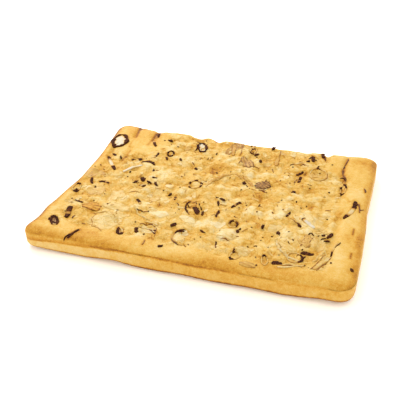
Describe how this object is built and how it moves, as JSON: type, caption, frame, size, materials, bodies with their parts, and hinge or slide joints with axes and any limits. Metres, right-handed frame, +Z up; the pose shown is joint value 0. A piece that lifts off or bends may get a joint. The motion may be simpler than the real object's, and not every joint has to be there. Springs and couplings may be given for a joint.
{
  "type": "onion flatbread",
  "caption": "Rectangular tray-baked flatbread sheet with a golden lumpy top, thick rounded rim and roasted, partly charred onion ribbons and rings pressed in.",
  "frame": {"origin": "middle of the flat underside", "axes": "+X along the long side, +Y from the front edge to the back edge, +Z up out of the crust"},
  "size_m": [0.4001, 0.3019, 0.032],
  "materials": {
    "baked_crust": "baked golden crust, dry, softly satin",
    "roast_onion": "roasted translucent onion, satin",
    "charred_onion": "burnt onion edge, dry"
  },
  "bodies": {
    "root": {"bread": "baked_crust", "onion_ribbon_back_left_pale": "roast_onion", "onion_ribbon_back_left_hook": "roast_onion", "onion_ribbon_back_left_cap": "charred_onion", "onion_ribbon_back_left_thread": "charred_onion", "onion_ribbon_below_ring": "charred_onion", "onion_ribbon_rim_notch": "charred_onion", "onion_ribbon_below_notch": "charred_onion", "onion_ribbon_back_brown": "roast_onion", "onion_ribbon_back_amber": "roast_onion", "onion_ribbon_back_right_dark": "charred_onion", "onion_ribbon_tangle": "charred_onion", "onion_ribbon_back_right_arch": "roast_onion", "onion_ribbon_right_tick": "charred_onion", "onion_ribbon_right_stroke": "charred_onion", "onion_ribbon_right_rim": "roast_onion", "onion_ribbon_left_tick": "charred_onion", "onion_ribbon_left_arch": "charred_onion", "onion_ribbon_left_thread": "charred_onion", "onion_ribbon_left_char": "charred_onion", "onion_ribbon_front_left_comma": "charred_onion", "onion_ribbon_middle_loop": "charred_onion", "onion_ribbon_middle_char": "charred_onion", "onion_ribbon_middle_left_thread": "charred_onion", "onion_ribbon_front_arch": "roast_onion", "onion_ribbon_front_arch_start": "charred_onion", "onion_ribbon_front_upper_arch": "roast_onion", "onion_ribbon_front_rim": "charred_onion", "onion_ribbon_left_middle_char": "charred_onion", "onion_ribbon_left_middle_pale": "roast_onion", "onion_ribbon_middle_right_stroke": "charred_onion", "onion_ribbon_middle_right_thread": "charred_onion", "onion_ribbon_right_middle_pale": "roast_onion", "onion_ribbon_right_middle_thread": "charred_onion", "onion_ribbon_right_char": "charred_onion", "onion_ribbon_right_long_top": "roast_onion", "onion_ribbon_right_long": "roast_onion", "onion_ribbon_front_right_bar": "charred_onion", "onion_ribbon_front_right_strip": "roast_onion", "onion_ribbon_front_right_char": "charred_onion", "onion_ribbon_front_ring": "roast_onion", "onion_ring_back_left": "charred_onion", "onion_ring_back": "roast_onion", "onion_ring_back_right": "roast_onion", "onion_ring_right_rim": "charred_onion", "onion_ring_left": "roast_onion", "onion_ring_middle": "roast_onion", "onion_ring_middle_right": "charred_onion", "onion_ring_front_right": "roast_onion", "onion_ring_front_narrow": "roast_onion", "onion_ring_front_pocket": "roast_onion", "onion_ring_left_pocket": "charred_onion", "onion_ring_front_left_pocket": "charred_onion", "onion_cup_back_left": "charred_onion", "onion_cup_back": "charred_onion", "onion_petal_back": "roast_onion", "onion_petal_middle_right": "roast_onion", "onion_petal_right": "roast_onion", "onion_petal_front_right": "roast_onion", "onion_petal_left": "roast_onion"}
  },
  "joints": []
}
